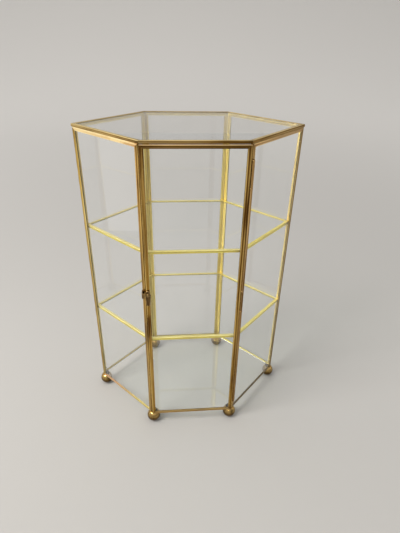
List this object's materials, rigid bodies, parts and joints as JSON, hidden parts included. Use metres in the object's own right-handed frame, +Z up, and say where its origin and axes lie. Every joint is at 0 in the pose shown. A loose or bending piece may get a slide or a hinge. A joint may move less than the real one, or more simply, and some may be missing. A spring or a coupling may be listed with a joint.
{
  "type": "tabletop curio cabinet",
  "caption": "Hexagonal tabletop display case of clear panes edged in brass channel, with a hinged front door, glass shelves, a turning latch and brass ball feet.",
  "frame": {"origin": "on the floor, under the middle of the overall width and depth", "axes": "+Z up, the door faces -Y, +X to the right as seen from the front"},
  "size_m": [0.212, 0.1354, 0.3037],
  "materials": {
    "clear_glass": "clear polished",
    "channel_brass": "aged polished",
    "hardware_brass": "aged satin",
    "foot_brass": "aged polished",
    "solder_seam": "dull soldered"
  },
  "bodies": {
    "cabinet": {"back_wall_bottom_rail": "channel_brass", "back_wall_left_stile": "channel_brass", "back_wall_pane": "clear_glass", "back_wall_right_stile": "channel_brass", "back_wall_top_rail": "channel_brass", "ball_feet": "foot_brass", "base_pane": "clear_glass", "hinge_lower_knuckle": "hardware_brass", "hinge_middle_knuckle": "hardware_brass", "hinge_rod": "hardware_brass", "hinge_upper_knuckle": "hardware_brass", "latch_keeper": "hardware_brass", "left_corner_seam": "solder_seam", "left_front_wall_bottom_rail": "channel_brass", "left_front_wall_front_stile": "channel_brass", "left_front_wall_pane": "clear_glass", "left_front_wall_side_stile": "channel_brass", "left_front_wall_top_rail": "channel_brass", "left_rear_wall_bottom_rail": "channel_brass", "left_rear_wall_pane": "clear_glass", "left_rear_wall_rear_stile": "channel_brass", "left_rear_wall_side_stile": "channel_brass", "left_rear_wall_top_rail": "channel_brass", "lower_shelf_edging": "channel_brass", "lower_shelf_lugs": "channel_brass", "lower_shelf_pane": "clear_glass", "rear_left_corner_seam": "solder_seam", "rear_right_corner_seam": "solder_seam", "right_corner_seam": "solder_seam", "right_front_wall_bottom_rail": "channel_brass", "right_front_wall_front_stile": "channel_brass", "right_front_wall_pane": "clear_glass", "right_front_wall_side_stile": "channel_brass", "right_front_wall_top_rail": "channel_brass", "right_rear_wall_bottom_rail": "channel_brass", "right_rear_wall_pane": "clear_glass", "right_rear_wall_rear_stile": "channel_brass", "right_rear_wall_side_stile": "channel_brass", "right_rear_wall_top_rail": "channel_brass", "top_pane": "clear_glass", "top_rim": "channel_brass", "upper_shelf_edging": "channel_brass", "upper_shelf_lugs": "channel_brass", "upper_shelf_pane": "clear_glass"},
    "door": {"door_pane": "clear_glass", "door_bottom_rail": "channel_brass", "door_hinge_stile": "channel_brass", "door_top_rail": "channel_brass", "door_latch_stile": "channel_brass", "hinge_lower_tube": "hardware_brass", "hinge_upper_tube": "hardware_brass", "latch_rivet": "hardware_brass"},
    "latch": {"latch_button": "hardware_brass"}
  },
  "joints": [
    {"name": "door_swing", "type": "hinge", "parent": "cabinet", "child": "door", "pos_m": [0.04474, -0.06453, 0], "axis": [0, 0, 1], "range_deg": [0, 180]},
    {"name": "latch_turn", "type": "hinge", "parent": "door", "child": "latch", "pos_m": [-0.04129, -0.06594, 0.16807], "axis": [0, -1, 0], "range_deg": [0, 90]}
  ]
}
